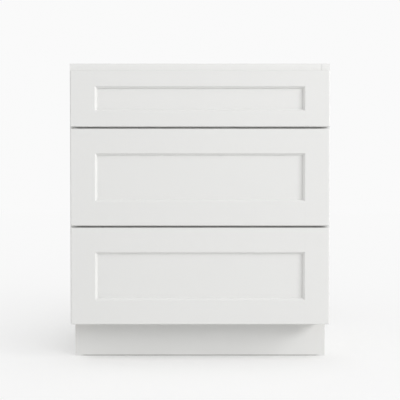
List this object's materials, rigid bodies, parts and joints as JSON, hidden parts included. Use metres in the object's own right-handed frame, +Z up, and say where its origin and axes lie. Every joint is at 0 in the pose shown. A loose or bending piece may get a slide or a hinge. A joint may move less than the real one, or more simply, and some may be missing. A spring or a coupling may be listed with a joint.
{
  "type": "base cabinet with drawers",
  "caption": "Face-frame kitchen base cabinet with white overlay shaker drawer fronts, dovetailed drawer boxes on full-extension ball runners, and a recessed toe kick.",
  "frame": {"origin": "on the floor, under the middle of the whole cabinet with its drawer fronts", "axes": "+Z up, the drawer fronts face -Y, +X to the right of someone looking at the fronts"},
  "size_m": [0.762, 0.6302, 0.8763],
  "materials": {
    "painted_front": "satin white paint on maple and MDF",
    "painted_frame": "satin white paint on maple",
    "painted_toe_board": "satin white paint on plywood",
    "side_plywood": "plywood, satin white paint outside and clear lacquer inside",
    "interior_plywood": "clear-lacquered birch plywood",
    "box_maple": "clear-lacquered maple",
    "box_plywood": "clear-lacquered maple plywood",
    "zinc_steel": "bright zinc plate",
    "cage_steel": "oiled bright steel",
    "screw_steel": "bright zinc plate",
    "brace_plastic": "moulded, fine matte",
    "clear_bumper": "clear soft polyurethane"
  },
  "bodies": {
    "cabinet": {"left_side_panel": "side_plywood", "right_side_panel": "side_plywood", "floor_panel": "interior_plywood", "back_panel": "interior_plywood", "runner_packers": "interior_plywood", "left_stile": "painted_frame", "right_stile": "painted_frame", "top_rail": "painted_frame", "upper_mid_rail": "painted_frame", "lower_mid_rail": "painted_frame", "bottom_rail": "painted_frame", "toe_kick_board": "painted_toe_board", "corner_braces": "brace_plastic", "front_bumpers": "clear_bumper", "cabinet_channels": "zinc_steel"},
    "bottom_drawer": {"bottom_drawer_front_left_stile": "painted_front", "bottom_drawer_front_right_stile": "painted_front", "bottom_drawer_front_top_rail": "painted_front", "bottom_drawer_front_bottom_rail": "painted_front", "bottom_drawer_front_panel": "painted_front", "bottom_drawer_box_left_side": "box_maple", "bottom_drawer_box_right_side": "box_maple", "bottom_drawer_box_front": "box_maple", "bottom_drawer_box_back": "box_maple", "bottom_drawer_box_bottom": "box_plywood", "bottom_drawer_drawer_channels": "zinc_steel", "bottom_drawer_screws": "screw_steel"},
    "bottom_drawer_middle_channels": {"bottom_drawer_middle_channels": "zinc_steel"},
    "bottom_drawer_outer_ball_cages": {"bottom_drawer_outer_ball_cages": "cage_steel"},
    "bottom_drawer_inner_ball_cages": {"bottom_drawer_inner_ball_cages": "cage_steel"},
    "middle_drawer": {"middle_drawer_front_left_stile": "painted_front", "middle_drawer_front_right_stile": "painted_front", "middle_drawer_front_top_rail": "painted_front", "middle_drawer_front_bottom_rail": "painted_front", "middle_drawer_front_panel": "painted_front", "middle_drawer_box_left_side": "box_maple", "middle_drawer_box_right_side": "box_maple", "middle_drawer_box_front": "box_maple", "middle_drawer_box_back": "box_maple", "middle_drawer_box_bottom": "box_plywood", "middle_drawer_drawer_channels": "zinc_steel", "middle_drawer_screws": "screw_steel"},
    "middle_drawer_middle_channels": {"middle_drawer_middle_channels": "zinc_steel"},
    "middle_drawer_outer_ball_cages": {"middle_drawer_outer_ball_cages": "cage_steel"},
    "middle_drawer_inner_ball_cages": {"middle_drawer_inner_ball_cages": "cage_steel"},
    "top_drawer": {"top_drawer_front_left_stile": "painted_front", "top_drawer_front_right_stile": "painted_front", "top_drawer_front_top_rail": "painted_front", "top_drawer_front_bottom_rail": "painted_front", "top_drawer_front_panel": "painted_front", "top_drawer_box_left_side": "box_maple", "top_drawer_box_right_side": "box_maple", "top_drawer_box_front": "box_maple", "top_drawer_box_back": "box_maple", "top_drawer_box_bottom": "box_plywood", "top_drawer_drawer_channels": "zinc_steel", "top_drawer_screws": "screw_steel"},
    "top_drawer_middle_channels": {"top_drawer_middle_channels": "zinc_steel"},
    "top_drawer_outer_ball_cages": {"top_drawer_outer_ball_cages": "cage_steel"},
    "top_drawer_inner_ball_cages": {"top_drawer_inner_ball_cages": "cage_steel"}
  },
  "joints": [
    {"name": "bottom_drawer_slide", "type": "slide", "parent": "cabinet", "child": "bottom_drawer", "axis": [0, -1, 0], "range_m": [0, 0.546]},
    {"name": "bottom_drawer_middle_channels_slide", "type": "slide", "parent": "cabinet", "child": "bottom_drawer_middle_channels", "axis": [0, -1, 0], "range_m": [0, 0.2735]},
    {"name": "bottom_drawer_outer_ball_cages_slide", "type": "slide", "parent": "cabinet", "child": "bottom_drawer_outer_ball_cages", "axis": [0, -1, 0], "range_m": [0, 0.137]},
    {"name": "bottom_drawer_inner_ball_cages_slide", "type": "slide", "parent": "cabinet", "child": "bottom_drawer_inner_ball_cages", "axis": [0, -1, 0], "range_m": [0, 0.41]},
    {"name": "middle_drawer_slide", "type": "slide", "parent": "cabinet", "child": "middle_drawer", "axis": [0, -1, 0], "range_m": [0, 0.546]},
    {"name": "middle_drawer_middle_channels_slide", "type": "slide", "parent": "cabinet", "child": "middle_drawer_middle_channels", "axis": [0, -1, 0], "range_m": [0, 0.2735]},
    {"name": "middle_drawer_outer_ball_cages_slide", "type": "slide", "parent": "cabinet", "child": "middle_drawer_outer_ball_cages", "axis": [0, -1, 0], "range_m": [0, 0.137]},
    {"name": "middle_drawer_inner_ball_cages_slide", "type": "slide", "parent": "cabinet", "child": "middle_drawer_inner_ball_cages", "axis": [0, -1, 0], "range_m": [0, 0.41]},
    {"name": "top_drawer_slide", "type": "slide", "parent": "cabinet", "child": "top_drawer", "axis": [0, -1, 0], "range_m": [0, 0.546]},
    {"name": "top_drawer_middle_channels_slide", "type": "slide", "parent": "cabinet", "child": "top_drawer_middle_channels", "axis": [0, -1, 0], "range_m": [0, 0.2735]},
    {"name": "top_drawer_outer_ball_cages_slide", "type": "slide", "parent": "cabinet", "child": "top_drawer_outer_ball_cages", "axis": [0, -1, 0], "range_m": [0, 0.137]},
    {"name": "top_drawer_inner_ball_cages_slide", "type": "slide", "parent": "cabinet", "child": "top_drawer_inner_ball_cages", "axis": [0, -1, 0], "range_m": [0, 0.41]}
  ],
  "couplings": [
    {"joint": "bottom_drawer_middle_channels_slide", "follows": "bottom_drawer_slide", "ratio": 0.5},
    {"joint": "bottom_drawer_outer_ball_cages_slide", "follows": "bottom_drawer_slide", "ratio": 0.25},
    {"joint": "bottom_drawer_inner_ball_cages_slide", "follows": "bottom_drawer_slide", "ratio": 0.75},
    {"joint": "middle_drawer_middle_channels_slide", "follows": "middle_drawer_slide", "ratio": 0.5},
    {"joint": "middle_drawer_outer_ball_cages_slide", "follows": "middle_drawer_slide", "ratio": 0.25},
    {"joint": "middle_drawer_inner_ball_cages_slide", "follows": "middle_drawer_slide", "ratio": 0.75},
    {"joint": "top_drawer_middle_channels_slide", "follows": "top_drawer_slide", "ratio": 0.5},
    {"joint": "top_drawer_outer_ball_cages_slide", "follows": "top_drawer_slide", "ratio": 0.25},
    {"joint": "top_drawer_inner_ball_cages_slide", "follows": "top_drawer_slide", "ratio": 0.75}
  ]
}
